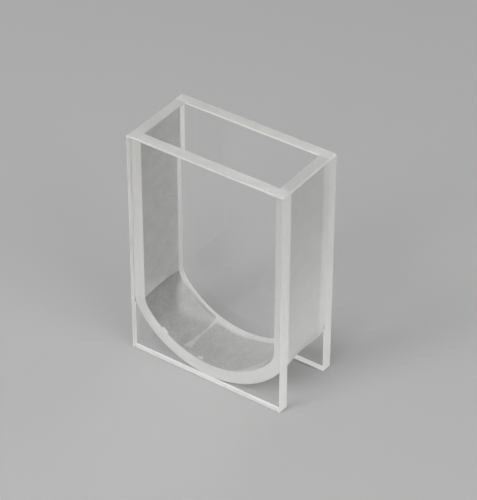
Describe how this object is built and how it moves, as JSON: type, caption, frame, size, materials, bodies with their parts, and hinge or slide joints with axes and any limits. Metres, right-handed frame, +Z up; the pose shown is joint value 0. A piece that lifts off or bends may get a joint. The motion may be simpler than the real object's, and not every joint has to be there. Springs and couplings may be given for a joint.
{
  "type": "cuvette",
  "caption": "Fused quartz cuvette, open at the top: polished windows joined by a ground U-shaped frame that makes the end walls and a curved floor, standing on the windows' edges.",
  "frame": {"origin": "centre of the cell's footprint, on the bench that it stands on", "axes": "+X across the windows, +Y along the light path from the front window to the rear one, +Z up to the open rim"},
  "size_m": [0.028, 0.014, 0.04],
  "materials": {
    "polished_quartz": "clear polished faces with ground edges",
    "ground_quartz": "fine ground, frosted"
  },
  "bodies": {
    "root": {"front_window": "polished_quartz", "u_frame": "ground_quartz", "rear_window": "polished_quartz"}
  },
  "joints": []
}
